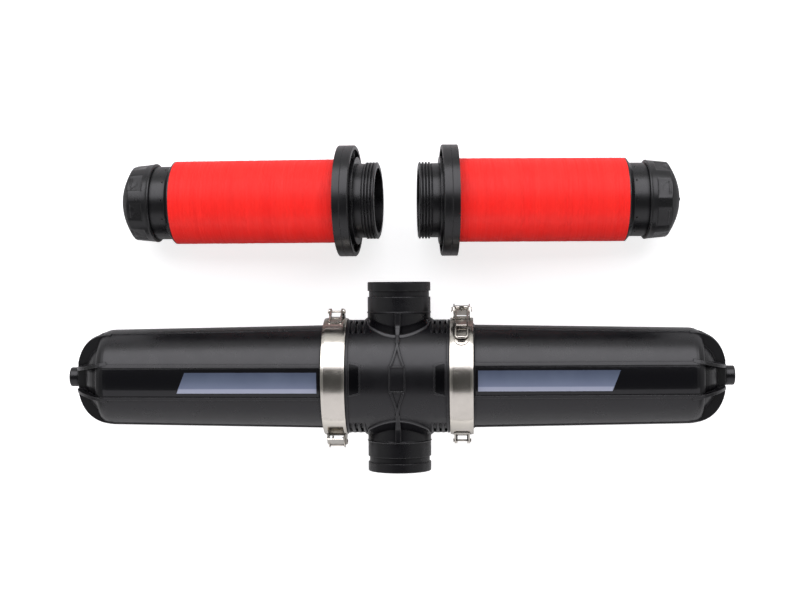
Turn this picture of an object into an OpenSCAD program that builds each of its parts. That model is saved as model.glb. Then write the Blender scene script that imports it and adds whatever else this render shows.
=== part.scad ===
// Twin irrigation disc filter with its two disc cartridges lying beside it.
// Millimetres, +Z up. The housing lies along X, its pipe ports point along Y.

/* [Ports] */
// Outside diameter of the grooved pipe ends
port_od = 88.9; // [86:0.1:92]
// Bore of the pipe ends
port_bore = 78; // [70:0.5:80]
// Distance from the housing axis to each port face
port_reach = 133; // [128:0.5:150]
// Length of the plain lip outside the coupling groove
port_lip = 12.4; // [11:0.1:16]
// Width of the coupling groove
groove_w = 8.6; // [7:0.1:10]
// Depth of the coupling groove
groove_depth = 2; // [1:0.1:3]
// Distance from the port face to the thin stop ridge
ridge_back = 41.5; // [36:0.5:46]

/* [Manifold] */
// Outside radius of the centre barrel
barrel_r = 78.5; // [76:0.1:84]
// Wall of the centre barrel
barrel_wall = 7; // [6:0.1:8]
// Height of the clamp lips over the barrel
lip_h = 3; // [2.5:0.1:4]
// Wall of the clamp lips round the seat of a cartridge flange
lip_wall = 2.8; // [2:0.1:3.4]
// Distance from the centre to each clamp plane
joint_x = 88.4; // [87:0.2:100]
// Inside radius of the collector tube that takes the cartridge necks
collector_bore_r = 54.5; // [54.3:0.1:56]
// Wall of the collector tube
collector_wall = 3; // [2:0.1:4]
// Radius of the saddle bead outside the port wall
bead_w = 4; // [2:0.1:6]
// Height of the saddle bead over the barrel
bead_h = 2.6; // [1.5:0.1:4]
// Height of the moulded ribs over the barrel
rib_h = 1.8; // [0.8:0.1:2.2]
// Width of the slots between the corner fins
fin_slot_w = 3.6; // [2:0.1:4]
// Depth of the slots between the corner fins
fin_slot_depth = 4.4; // [2:0.1:5]
// Angle over which a fin slot runs up from the side
fin_slot_a = 36; // [30:1:42]
// Length of the bare plate on the front of the barrel
front_plate_len = 36; // [30:1:40]
// Width of the bare plate on the front of the barrel
front_plate_w = 22.6; // [16:0.2:26]
// Length of the badge seats beside the clamps
badge_len = 43; // [36:1:46]
// Width of the badge seats beside the clamps
badge_w = 13; // [9:0.2:14]
// Width of the raised border round a badge seat
badge_border = 2.2; // [1:0.1:2.6]

/* [Bowls] */
// Length of a bowl from the clamp plane to the tip of its boss
bowl_len = 367; // [352:1:400]
// Outside radius of a bowl beside the clamp
bowl_r0 = 72.5; // [71:0.1:74]
// Outside radius of a bowl where its dome starts
bowl_r1 = 67.25; // [66.6:0.05:69]
// Wall of a bowl
bowl_wall = 4.5; // [3.5:0.1:5]
// Half of the width of a long rib panel
panel_half = 25; // [22:0.5:28]
// Width of the raised rim along a rib panel
rim_w = 4.4; // [3:0.1:6]
// Height of the raised rim along a rib panel
rim_h = 1.2; // [0.6:0.1:1.8]
// Turn of the left bowl about its axis
left_roll = 4; // [-10:0.5:10]
// Turn of the right bowl about its axis
right_roll = 2; // [-10:0.5:10]
// Radius of the end plug's head
plug_r = 13.7; // [12:0.1:15]
// Length of the end plug's head
plug_head = 12.4; // [9:0.1:16]
// Thickness of the label sheets
label_t = 0.5; // [0.3:0.1:1]

/* [Clamps] */
// Width of the clamp band
clamp_w = 32.4; // [32:0.1:35]
// Sheet thickness of the clamp band
band_t = 1.25; // [1:0.05:1.4]
// Angle of the latch gap from the side of the housing
split_a = 16; // [15:0.5:20]
// Height of the band's hinge pin over the band
hinge_h = 8.6; // [6.9:0.05:9.2]
// Height of the lever pivot over the band
pivot_h = 10.75; // [10.3:0.05:12.2]
// Angle of the lever pivot
pivot_a = 2.5; // [2:0.1:3.5]
// Angle of the catch hook
hook_a = 50; // [49:0.1:51]
// Radius of the lever's trunnion about its pivot
throw_r = 7; // [6.5:0.1:7.5]
// Radius of the bail wire
wire_r = 1.4; // [1.2:0.1:1.5]

/* [Cartridges] */
// Thickness of the cartridge flange
flange_t = 22.4; // [20:0.1:24]
// Crest radius of the neck thread
neck_r = 54.1; // [53:0.1:54.2]
// Length of the threaded neck
neck_len = 32.4; // [29:0.1:34]
// Outside radius of the discs
disc_r = 59.4; // [58:0.1:60.4]
// Length of the disc stack
stack_len = 235; // [200:0.5:240]
// Number of grooves shown on the disc stack
groove_count = 58; // [30:1:70]
// Outside radius of the pressure sleeve
sleeve_r = 52.1; // [51:0.1:52.6]
// Visible length of the pressure sleeve
sleeve_len = 21.6; // [18:0.1:24]
// Outside radius of the cap nut
cap_r = 56; // [55.4:0.1:56.4]
// Length of the cap nut
cap_len = 50.4; // [46:0.1:56]

/* [Layout] */
// Distance between the housing axis and the cartridge axes
axis_gap = 248; // [225:1:300]
// Distance of each cartridge's middle from the centre
cart_mid = 213; // [205:1:240]

/* [Hidden] */
$fn = 96;
small_fn = 48;
port_r = port_od / 2;
bore_r = port_bore / 2;
cut = 1;
seat_gap = 0.2;
lip_r = barrel_r + lip_h;
clamp_r = lip_r + band_t;
seat_r = lip_r - lip_wall;
flange_r = seat_r - seat_gap;
filter_y = -(axis_gap + flange_r - port_reach) / 2;
cart_y = filter_y + axis_gap;

// Lips under the V-band, the same on the barrel and on each bowl
lip_flat = clamp_w / 2 - 4.4;
lip_depth = clamp_w / 2 - 0.4;
lip_toe_r = lip_r - 1.3;
seat_depth = flange_t / 2 + seat_gap;
end_ring_r = barrel_r + 1.5;
end_ring_w = 3;
end_ring_gap = 1.3;
body_half = joint_x - lip_depth;
collector_half = joint_x - seat_depth - 0.4;
collector_r = collector_bore_r + collector_wall;
barrel_bore_r = barrel_r - barrel_wall;

// Dome of a bowl
panel_end = bowl_len - 34;
panel_round = 17;
panel_drop = 9;
dome_mid = bowl_len - 61;
dome_a = 52;
dome_b = bowl_r1 - 7.75;
dome_power = 0.91;
web_a = 63;
web_b = bowl_r1 + 1.75;
web_power = 0.8;
web_lean = 13;
inner_mid = bowl_len - 82;
inner_a = 65.3;
boss_r = 16.4;
boss_depth = 22;
plug_shank_r = 9;
plug_shank = 20;
plug_clear = 0.06;
plug_seal_t = 1.4;
label_half_a = 15.5;
label_glue = 0.1;
label_x0 = clamp_w / 2 + 3;
skin = 1;

// Clamp details
band_gap_a = 0.7;
strap_t = 1.5;
strap_r = clamp_r + strap_t;
hinge_pin_r = 1.5;
hinge_r = clamp_r + hinge_h;
pivot_r = clamp_r + pivot_h;
hinge_eye_r = 4.4;
hinge_in = 6.7;
hinge_t = 2;
hinge_gap = 0.2;
hinge_mid = hinge_in + hinge_t + hinge_gap;
hinge_out = hinge_mid + hinge_t;
bail_half = 8.2;
bail_gap = 0.45;
side_gap = 0.2;
lever_in = bail_half + wire_r + bail_gap;
lever_t = 1.5;
ear_in = lever_in + lever_t + side_gap;
ear_t = 1.6;
rivet_r = 2;
run_clear = 0.06;
over_centre_a = 6;
lean_a = 20;
hook_room = 1.5;
hook_t = 1.5;
hook_half = 4.8;
bail_bow = 6.5;
bar_slack = 0.9;
tongue_half = 9.5;
tongue_a = hook_a - 1;
hook_ring_r = wire_r + hook_room;
hook_c = (strap_r + hook_ring_r) * [cos(hook_a), sin(hook_a)];
pivot = pivot_r * [cos(pivot_a), sin(pivot_a)];
reach_a = atan2(hook_c[1] - pivot[1], hook_c[0] - pivot[0]);
bar = hook_c - bar_slack * [cos(reach_a), sin(reach_a)];
trunnion_a = reach_a + 180 - over_centre_a;
trunnion = pivot + throw_r * [cos(trunnion_a), sin(trunnion_a)];
bail_a = atan2(bar[1] - trunnion[1], bar[0] - trunnion[0]);
bail_len = norm(bar - trunnion);
bail_arc_r = (bail_len * bail_len / 4 + bail_bow * bail_bow) / (2 * bail_bow);
bail_span_a = 2 * asin(bail_len / 2 / bail_arc_r);
bail_c = (bar + trunnion) / 2 + (bail_arc_r - bail_bow) * [-sin(bail_a), cos(bail_a)];
bail_a0 = bail_a - 90 - bail_span_a / 2;
handle_a = pivot_a - 90 - lean_a;
trunnion_in_lever = throw_r * [cos(trunnion_a - handle_a), sin(trunnion_a - handle_a)];

// Cartridge details, measured along its axis from the end of the neck
neck_bore_r = 46;
spine_r = 45;
spine_bore_r = 41;
shoulder_t = 1;
shoulder_r = disc_r + 2.2;
flange_x0 = neck_len;
flange_x1 = flange_x0 + flange_t;
stack_x0 = flange_x1 + shoulder_t;
stack_x1 = stack_x0 + stack_len;
face_gap = 0.05;
ring_t = 7.4;
ring_r = disc_r - 0.4;
sleeve_x0 = stack_x1 + face_gap;
cap_x0 = sleeve_x0 + ring_t + sleeve_len;
cap_x1 = cap_x0 + cap_len;
cap_skirt = 23;
cap_wall = 3;
cap_tip_r = 10.5;
cap_boss_h = 1.6;
cap_dome_h = 17.6;
cap_shoulder_r = cap_r - 3;
sleeve_x1 = cap_x0 + cap_skirt - 4;
spine_x1 = cap_x0 + cap_skirt - 1;
guide_clear = 0.3;
cart_len = cap_x1;
lie_a = atan2(flange_r - disc_r, stack_x1 - flange_x1);
cart_lift = flange_x1 * sin(lie_a) + flange_r * cos(lie_a);

plastic = [0.11, 0.11, 0.12];
steel = [0.82, 0.82, 0.80];
red = [0.78, 0.10, 0.12];
rubber = [0.05, 0.05, 0.05];
gloss = [0.03, 0.03, 0.05];

// Revolves a flat outline of [radius, x] about the X axis, from +Y towards +Z.
module turn(a = 360) {
    rotate([90, 0, 90])
        rotate_extrude(angle = a)
            children();
}

// Extrudes a flat outline of [y, z] along X.
module along_x(x0, x1) {
    translate([x0, 0, 0])
        rotate([90, 0, 90])
            linear_extrude(x1 - x0)
                children();
}

module x_rod(r, x0, x1, fn = $fn) {
    along_x(x0, x1)
        circle(r = r, $fn = fn);
}

module y_rod(r, y0, y1) {
    translate([0, y0, 0])
        rotate([-90, 0, 0])
            cylinder(r = r, h = y1 - y0);
}

module at_filter() {
    translate([0, filter_y, clamp_r])
        children();
}

// side is 1 on the right and -1 on the left, where everything is turned half round.
module at_bowl(side) {
    at_filter()
        rotate([0, 0, side > 0 ? 0 : 180])
            translate([joint_x, 0, 0])
                rotate([side > 0 ? right_roll : -left_roll, 0, 0])
                    children();
}

// The left clamp is the right one turned over.
module at_clamp(side) {
    at_filter()
        translate([side * joint_x, 0, 0])
            rotate([side > 0 ? 0 : 180, 0, 0])
                children();
}

module at_cartridge(side) {
    translate([side * (cart_mid - cart_len / 2), cart_y, cart_lift])
        rotate([0, 0, side > 0 ? 0 : 180])
            rotate([0, lie_a, 0])
                children();
}

// Points of an ellipse's arc as [radius, x], from angle a0 to a1.
function arc(mid, a, b, a0, a1, n) =
    [for (i = [0 : n]) let (t = a0 + (a1 - a0) * i / n) [b * cos(t), mid + a * sin(t)]];

// The same over a quarter, fuller than an ellipse when power is below 1.
function full_arc(mid, a, b, power, n) =
    [for (i = [0 : n]) let (t = 90 * i / n)
        i == n ? [0, mid + a] : [b * pow(cos(t), power), mid + a * pow(sin(t), power)]];

// Manifold

module barrel_outline() {
    half = [
        [barrel_r, body_half - end_ring_gap - end_ring_w],
        [end_ring_r, body_half - end_ring_gap - end_ring_w],
        [end_ring_r, body_half - end_ring_gap],
        [barrel_r, body_half - end_ring_gap],
        [barrel_r, body_half],
        [lip_toe_r, body_half],
        [lip_r, joint_x - lip_flat],
        [lip_r, joint_x],
        [0, joint_x]
    ];
    polygon(concat(half, [for (i = [len(half) - 1 : -1 : 0]) [half[i][0], -half[i][1]]]));
}

module port_outline() {
    ridge_w = 2.4;
    ridge_h = 1.1;
    chamfer = 0.8;
    groove_r = port_r - groove_depth;
    polygon([
        [0, 0],
        [port_r, 0],
        [port_r, port_reach - ridge_back - ridge_w],
        [port_r + ridge_h, port_reach - ridge_back - ridge_w / 2],
        [port_r, port_reach - ridge_back],
        [port_r, port_reach - port_lip - groove_w],
        [groove_r, port_reach - port_lip - groove_w],
        [groove_r, port_reach - port_lip],
        [port_r, port_reach - port_lip],
        [port_r, port_reach - chamfer],
        [port_r - chamfer, port_reach],
        [0, port_reach]
    ]);
}

module port_outside() {
    neck_rib_w = 7.4;
    neck_rib_h = 2.6;
    rotate([-90, 0, 0])
        rotate_extrude()
            port_outline();
    intersection() {
        x_rod(barrel_r + bead_h, -port_r - bead_w, port_r + bead_w);
        y_rod(port_r + bead_w / 2, 0, port_reach);
    }
    intersection() {
        x_rod(barrel_r + bead_h / 2, -port_r - bead_w, port_r + bead_w);
        y_rod(port_r + bead_w, 0, port_reach);
    }
    intersection() {
        y_rod(port_r + neck_rib_h, barrel_r / 2, port_reach - ridge_back - 1);
        translate([-neck_rib_w / 2, 0, -barrel_r])
            cube([neck_rib_w, port_reach, 2 * barrel_r]);
    }
}

// Rib on the barrel that leaves the port as one and splits towards the plate.
module split_rib_outline() {
    leg_w = 2.6;
    stem_w = 5.4;
    split_y = front_plate_len / 2 + 33;
    leg_reach = front_plate_w / 2 - leg_w;
    steps = 8;
    translate([-stem_w / 2, split_y - 1])
        square([stem_w, barrel_r - split_y]);
    for (s = [-1, 1])
        polygon(concat(
            [for (i = [0 : steps]) let (t = i / steps)
                [s * (leg_reach * pow(t, 1.5) - leg_w / 2), split_y + (front_plate_len / 2 - split_y) * t]],
            [for (i = [steps : -1 : 0]) let (t = i / steps)
                [s * (leg_reach * pow(t, 1.5) + leg_w / 2), split_y + (front_plate_len / 2 - split_y) * t]]
        ));
}

module front_plate_outline() {
    frame_w = 1.8;
    difference() {
        square([front_plate_w, front_plate_len], center = true);
        square([front_plate_w - 2 * frame_w, front_plate_len - 2 * frame_w], center = true);
    }
}

module barrel_ribs() {
    intersection() {
        x_rod(barrel_r + rib_h, -port_r, port_r);
        linear_extrude(2 * barrel_r, center = true)
            for (s = [-1, 1])
                scale([1, s])
                    split_rib_outline();
    }
    intersection() {
        x_rod(barrel_r + rib_h / 2, -port_r, port_r);
        linear_extrude(2 * barrel_r)
            front_plate_outline();
    }
}

// Flat outline of a slot that starts with a round end and runs out over the side.
module slot_outline() {
    end_r = fin_slot_w / 2;
    steps = 6;
    polygon(concat(
        [for (i = [0 : steps]) let (t = 180 + 180 * i / steps) end_r * [cos(t), sin(t)]],
        [[end_r, barrel_r], [-end_r, barrel_r]]
    ));
}

// Slots that leave fins at each corner and run round the side of the barrel.
module fin_slots() {
    slot_count = 3;
    slot_room = 0.4;
    first = port_r + bead_w + fin_slot_w / 2 + slot_room;
    last = body_half - end_ring_gap - end_ring_w - slot_room - fin_slot_w / 2;
    pitch = (last - first) / (slot_count - 1);
    difference() {
        for (sx = [-1, 1], sy = [-1, 1], i = [0 : slot_count - 1])
            scale([1, sy, 1])
                translate([sx * (first + i * pitch), barrel_r * cos(fin_slot_a), 0])
                    linear_extrude(2 * barrel_r, center = true)
                        slot_outline();
        x_rod(barrel_r - fin_slot_depth, -joint_x, joint_x);
    }
}

// Outline of a badge, or of the border round it when grow is its width.
module badge_outline(grow) {
    end_ring_room = 0.5;
    outer = body_half - end_ring_gap - end_ring_w - end_ring_room - badge_border + grow;
    w = badge_w + 2 * grow;
    half = badge_len / 2 + grow;
    polygon([
        [outer, -half],
        [outer, half],
        [outer - w * 0.75, half - 2.4],
        [outer - w, half - 4],
        [outer - w, 4 - half],
        [outer - w * 0.75, 2.4 - half]
    ]);
}

module badge_seat(grow = 0) {
    linear_extrude(2 * barrel_r)
        badge_outline(grow);
}

module badge_borders() {
    border_h = 0.7;
    for (s = [0, 180])
        rotate([0, 0, s])
            intersection() {
                badge_seat(badge_border);
                x_rod(barrel_r + border_h, 0, joint_x);
            }
}

module manifold_body() {
    web_t = 4;
    color(plastic)
        at_filter()
            difference() {
                union() {
                    turn()
                        barrel_outline();
                    port_outside();
                    rotate([0, 0, 180])
                        port_outside();
                    barrel_ribs();
                    badge_borders();
                }
                fin_slots();
                for (s = [0, 180])
                    rotate([0, 0, s])
                        intersection() {
                            badge_seat();
                            difference() {
                                x_rod(barrel_r + 1, 0, joint_x);
                                x_rod(barrel_r - skin, 0, joint_x);
                            }
                        }
                difference() {
                    x_rod(barrel_bore_r, -joint_x - cut, joint_x + cut);
                    x_rod(collector_r, -collector_half, collector_half);
                    y_rod(port_r, 0, barrel_r);
                    translate([-collector_half, -web_t / 2, -barrel_r])
                        cube([2 * collector_half, web_t, 2 * barrel_r]);
                }
                x_rod(collector_bore_r, -joint_x - cut, joint_x + cut);
                for (s = [-1, 1])
                    x_rod(seat_r, s > 0 ? joint_x - seat_depth : -joint_x - cut,
                          s > 0 ? joint_x + cut : -joint_x + seat_depth);
                y_rod(bore_r, 0, port_reach + cut);
                y_rod(bore_r, -port_reach - cut, -collector_r - 0.2);
            }
}

module badge(side) {
    proud = 0.3;
    color(gloss)
        at_filter()
            rotate([0, 0, side > 0 ? 0 : 180])
                intersection() {
                    badge_seat();
                    difference() {
                        x_rod(barrel_r + proud, 0, joint_x);
                        x_rod(barrel_r - skin, 0, joint_x);
                    }
                }
}

module left_badge() { badge(-1); }
module right_badge() { badge(1); }

// Bowls

function bowl_r(x) = bowl_r0 + (bowl_r1 - bowl_r0) * x / (panel_end - panel_round);

// Rounded end of the panels as [radius, x], in the given number of steps of 15 degrees.
function panel_end_arc(lift, steps) =
    [for (p = arc(panel_end - panel_round, panel_round, panel_drop, 0, 15 * steps, steps))
        [bowl_r1 + lift - panel_drop + p[0], p[1]]];

// Outline of the long panels, raised by lift, down to the middle of the dome.
module panel_outline(lift) {
    toe = lip_depth + 2.4;
    polygon(concat(
        [[0, 0], [lip_r, 0], [lip_r, lip_flat], [lip_toe_r, lip_depth],
         [bowl_r(lip_depth) + 3, lip_depth], [bowl_r(toe) + lift, toe]],
        panel_end_arc(lift, 6),
        [[0, panel_end]]
    ));
}

module dome_outline(a, b, power) {
    polygon(concat(
        [[0, dome_mid - 20], [b, dome_mid - 20]],
        full_arc(dome_mid, a, b, power, 14)
    ));
}

module bowl_inside_outline() {
    inner_r = bowl_r(inner_mid) - bowl_wall;
    polygon(concat(
        [[0, -1], [seat_r, -1], [seat_r, seat_depth],
         [bowl_r(seat_depth) - bowl_wall, seat_depth]],
        arc(inner_mid, inner_a, inner_r, 0, 90, 14)
    ));
}

module panel_rims() {
    rim_y = panel_half - rim_w;
    intersection() {
        turn()
            panel_outline(rim_h);
        for (a = [0 : 90 : 270], s = [-1, 1])
            rotate([a, 0, 0])
                translate([lip_depth, s > 0 ? rim_y : -panel_half, bowl_r1 / 2])
                    cube([panel_end - lip_depth, rim_w, bowl_r0]);
    }
}

// Webs that carry the rims on over the dome to the boss.
module dome_webs() {
    intersection() {
        turn()
            dome_outline(web_a, web_b, web_power);
        for (a = [0 : 90 : 270], s = [-1, 1])
            rotate([a, 0, 0])
                scale([1, s, 1])
                    translate([panel_end, panel_half, 0])
                        rotate([0, 0, -web_lean])
                            translate([-panel_round, -rim_w, 0])
                                cube([bowl_len - panel_end + panel_round, rim_w, bowl_r0]);
    }
}

module bowl(side) {
    color(plastic)
        at_bowl(side)
            difference() {
                union() {
                    turn()
                        panel_outline(0);
                    turn()
                        dome_outline(dome_a, dome_b, dome_power);
                    panel_rims();
                    dome_webs();
                    x_rod(boss_r, bowl_len - boss_depth, bowl_len);
                }
                turn()
                    bowl_inside_outline();
                x_rod(plug_shank_r + plug_clear, inner_mid, bowl_len + 1);
            }
}

module left_bowl() { bowl(-1); }
module right_bowl() { bowl(1); }

module label_outline() {
    inside = concat([[bowl_r(label_x0) + label_glue, label_x0]], panel_end_arc(label_glue, 2));
    polygon(concat(inside, [for (i = [len(inside) - 1 : -1 : 0]) inside[i] + [label_t, 0]]));
}

// Bare label sheet on the front rib panel.
module label(side) {
    color(gloss)
        at_bowl(side)
            rotate([90 - label_half_a, 0, 0])
                turn(2 * label_half_a)
                    label_outline();
}

module left_label() { label(-1); }
module right_label() { label(1); }

module plug_seal(side) {
    squeeze = 0.8;
    color(rubber)
        at_bowl(side)
            difference() {
                x_rod(plug_r - squeeze, bowl_len, bowl_len + plug_seal_t);
                x_rod(plug_shank_r + plug_clear, bowl_len - 1, bowl_len + plug_seal_t + 1);
            }
}

module left_plug_seal() { plug_seal(-1); }
module right_plug_seal() { plug_seal(1); }

module end_plug(side) {
    face = bowl_len + plug_seal_t + face_gap;
    edge = 2;
    color(plastic)
        at_bowl(side)
            turn()
                polygon([
                    [0, face - plug_shank],
                    [plug_shank_r - 1, face - plug_shank],
                    [plug_shank_r, face - plug_shank + 1],
                    [plug_shank_r, face],
                    [plug_r, face],
                    [plug_r, face + plug_head - edge],
                    [plug_r - edge * 0.3, face + plug_head - edge * 0.3],
                    [plug_r - edge, face + plug_head],
                    [0, face + plug_head]
                ]);
}

module left_end_plug() { end_plug(-1); }
module right_end_plug() { end_plug(1); }

// Clamps

module band_outline() {
    half_w = clamp_w / 2;
    half = [
        [lip_r, lip_flat],
        [lip_toe_r, lip_depth],
        [lip_toe_r, half_w],
        [lip_r + 0.3, half_w],
        [lip_r + 0.7, half_w - 1.4],
        [clamp_r, half_w - 4]
    ];
    polygon(concat(half, [for (i = [len(half) - 1 : -1 : 0]) [half[i][0], -half[i][1]]]));
}

module band_arc(a0, a1) {
    rotate([a0, 0, 0])
        turn(a1 - a0)
            band_outline();
}

// Side of a hinge ear as [y, z]: an eye round the pin and a foot along the band.
module hinge_ear_outline() {
    foot_a = 24;
    toe_a = 3;
    foot_h = 2;
    difference() {
        union() {
            translate([-hinge_r, 0])
                circle(r = hinge_eye_r, $fn = small_fn);
            polygon([
                [-hinge_r - hinge_eye_r * 0.82, hinge_eye_r * 0.55],
                [-hinge_r + hinge_eye_r * 0.9, -hinge_eye_r * 0.4],
                lip_r * [-cos(toe_a), sin(toe_a)],
                lip_r * [-cos(foot_a), sin(foot_a)],
                (clamp_r + foot_h) * [-cos(foot_a - 1), sin(foot_a - 1)]
            ]);
        }
        circle(r = lip_r + 0.4);
        translate([-hinge_r, 0])
            circle(r = hinge_pin_r, $fn = small_fn);
    }
}

// Two ears of the band hinge and the sheet between them, for the front half of the band.
module hinge_ears(x0) {
    strap_a0 = 157;
    strap_a1 = 178.6;
    weld = 0.4;
    for (x = [x0, -x0 - hinge_t])
        along_x(x, x + hinge_t)
            hinge_ear_outline();
    strap(strap_a0, strap_a1, x0 + hinge_t / 2, weld);
}

module clamp_front_band(side) {
    color(steel)
        at_clamp(side) {
            band_arc(split_a + band_gap_a, 180 - band_gap_a);
            hinge_ears(hinge_mid);
        }
}

module clamp_back_band(side) {
    color(steel)
        at_clamp(side) {
            band_arc(180 + band_gap_a, 360 + split_a - band_gap_a);
            mirror([0, 0, 1])
                hinge_ears(hinge_in);
        }
}

module clamp_hinge_pin(side) {
    head_t = 1.8;
    head_r = 2.6;
    color(steel)
        at_clamp(side)
            translate([0, -hinge_r, 0]) {
                x_rod(hinge_pin_r, -hinge_out - head_t, hinge_out + head_t, small_fn);
                x_rod(head_r, hinge_out, hinge_out + head_t, small_fn);
                x_rod(head_r, -hinge_out - head_t, -hinge_out, small_fn);
            }
}

// Strap of sheet on the band from angle a0 to a1, let into the band by sink where it is one with it.
module strap(a0, a1, half_w, sink = 0) {
    rotate([a0, 0, 0])
        turn(a1 - a0)
            translate([clamp_r - sink, -half_w])
                square([strap_t + sink, 2 * half_w]);
}

// Flat outline of the tongue, with its round end at the top.
module tongue_outline() {
    end_r = tongue_half + 0.6;
    steps = 10;
    polygon(concat(
        [[-end_r, -clamp_r], [end_r, -clamp_r]],
        [for (i = [0 : steps]) let (t = 180 * i / steps) end_r * [cos(t), sin(t)]]
    ));
}

// Tongue on the band with a round end, and the curled hook that holds the bail.
module latch_catch(side) {
    mouth = 1;
    start_a = 2.5;
    color(steel)
        at_clamp(side) {
            intersection() {
                strap(split_a + start_a, tongue_a + tongue_half, tongue_half);
                rotate([tongue_a + 90, 0, 0])
                    translate([0, 0, -2 * clamp_r])
                        linear_extrude(2 * clamp_r)
                            tongue_outline();
            }
            along_x(-hook_half, hook_half)
                difference() {
                    translate(hook_c)
                        rotate(hook_a)
                            difference() {
                                circle(r = hook_ring_r + hook_t, $fn = small_fn);
                                circle(r = hook_ring_r, $fn = small_fn);
                                translate([-hook_ring_r * 3, mouth])
                                    square(hook_ring_r * 6);
                            }
                    circle(r = clamp_r);
                }
        }
}

module y_rod_small(r, y0, y1) {
    translate([0, y0, 0])
        rotate([-90, 0, 0])
            cylinder(r = r, h = y1 - y0, $fn = small_fn);
}

module ear_outline() {
    difference() {
        rotate(pivot_a)
            polygon([
                [clamp_r - 4, -23],
                [clamp_r - 3, 15],
                [pivot_r - 1, 6],
                [pivot_r + 4.1, 2],
                [pivot_r + 4.1, -2],
                [pivot_r - 3, -8]
            ]);
        circle(r = clamp_r + strap_t / 2);
        translate(pivot)
            circle(r = rivet_r, $fn = small_fn);
    }
}

module latch_bracket(side) {
    back_a = 17;
    fore_a = 11.5;
    color(steel)
        at_clamp(side) {
            strap(pivot_a - back_a, pivot_a + fore_a, ear_in + ear_t);
            along_x(ear_in, ear_in + ear_t)
                ear_outline();
            along_x(-ear_in - ear_t, -ear_in)
                ear_outline();
        }
}

module latch_rivets(side) {
    head_t = 1.2;
    color(steel)
        at_clamp(side)
            for (s = [0, 180])
                translate([0, pivot[0], pivot[1]])
                    rotate([0, s, 0]) {
                        x_rod(rivet_r, lever_in, ear_in + ear_t + head_t, small_fn);
                        x_rod(rivet_r + 1.3, ear_in + ear_t, ear_in + ear_t + head_t, small_fn);
                    }
}

// Side wall of the lever as [along the handle, out from it], with both of its holes.
module lever_wall_outline() {
    difference() {
        polygon([
            [-4.6, -2.6], [-4.6, 2.4], [1, 9], [9.6, 9.2], [13.5, 6.2],
            [41, 6.2], [43, 4.6], [42, 2.4], [37, 0.4], [12, -2.4], [2, -4.6], [-2.6, -4.6]
        ]);
        circle(r = rivet_r + run_clear, $fn = small_fn);
        translate(trunnion_in_lever)
            circle(r = rivet_r + run_clear, $fn = small_fn);
    }
}

module latch_lever(side) {
    web_x0 = 13.5;
    web_x1 = 45;
    web_y = 4.6;
    web_t = 1.6;
    color(steel)
        at_clamp(side)
            translate([0, pivot[0], pivot[1]])
                rotate([handle_a, 0, 0]) {
                    along_x(lever_in, lever_in + lever_t)
                        lever_wall_outline();
                    along_x(-lever_in - lever_t, -lever_in)
                        lever_wall_outline();
                    translate([-lever_in - lever_t, web_x0, web_y])
                        cube([2 * (lever_in + lever_t), web_x1 - web_x0, web_t]);
                }
}

// Places things at an angle of the bail's bow: local Y points outwards, local Z along the wire.
module at_bow(a) {
    translate([0, bail_c[0], bail_c[1]])
        rotate([a, 0, 0])
            translate([0, bail_arc_r, 0])
                children();
}

// Bowed wire loop on its trunnion, with an end bar in the hook and a bridge.
module latch_bail(side) {
    barrel = 3;
    shoulder_gap = 0.3;
    bridge = 0.7;
    bridge_r = wire_r - 0.3;
    bar_r = wire_r + 0.1;
    bar_half = bail_half + wire_r + 0.2;
    color(steel)
        at_clamp(side) {
            translate([0, trunnion[0], trunnion[1]]) {
                x_rod(barrel, shoulder_gap - lever_in, lever_in - shoulder_gap, small_fn);
                x_rod(rivet_r, -lever_in - lever_t, lever_in + lever_t, small_fn);
            }
            for (s = [-1, 1])
                translate([s * bail_half, bail_c[0], bail_c[1]])
                    rotate([bail_a0, 0, 0])
                        turn(bail_span_a)
                            translate([bail_arc_r, 0])
                                circle(r = wire_r, $fn = small_fn);
            at_bow(bail_a0 + bail_span_a)
                x_rod(bar_r, -bar_half, bar_half, small_fn);
            at_bow(bail_a0 + bail_span_a * bridge)
                x_rod(bridge_r, -bail_half, bail_half, small_fn);
        }
}

module latch_screw(side) {
    screw_r = 2.1;
    head_r = 3.8;
    barrel = 3;
    color(steel)
        at_clamp(side)
            at_bow(bail_a0)
                rotate([90, 0, 0]) {
                    y_rod_small(screw_r, barrel, barrel + 11);
                    y_rod_small(head_r, barrel, barrel + 2.6);
                }
}

module left_clamp_front_band() { clamp_front_band(-1); }
module right_clamp_front_band() { clamp_front_band(1); }
module left_clamp_back_band() { clamp_back_band(-1); }
module right_clamp_back_band() { clamp_back_band(1); }
module left_clamp_hinge_pin() { clamp_hinge_pin(-1); }
module right_clamp_hinge_pin() { clamp_hinge_pin(1); }
module left_latch_catch() { latch_catch(-1); }
module right_latch_catch() { latch_catch(1); }
module left_latch_bracket() { latch_bracket(-1); }
module right_latch_bracket() { latch_bracket(1); }
module left_latch_rivets() { latch_rivets(-1); }
module right_latch_rivets() { latch_rivets(1); }
module left_latch_lever() { latch_lever(-1); }
module right_latch_lever() { latch_lever(1); }
module left_latch_bail() { latch_bail(-1); }
module right_latch_bail() { latch_bail(1); }
module left_latch_screw() { latch_screw(-1); }
module right_latch_screw() { latch_screw(1); }

// Cartridges

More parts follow.
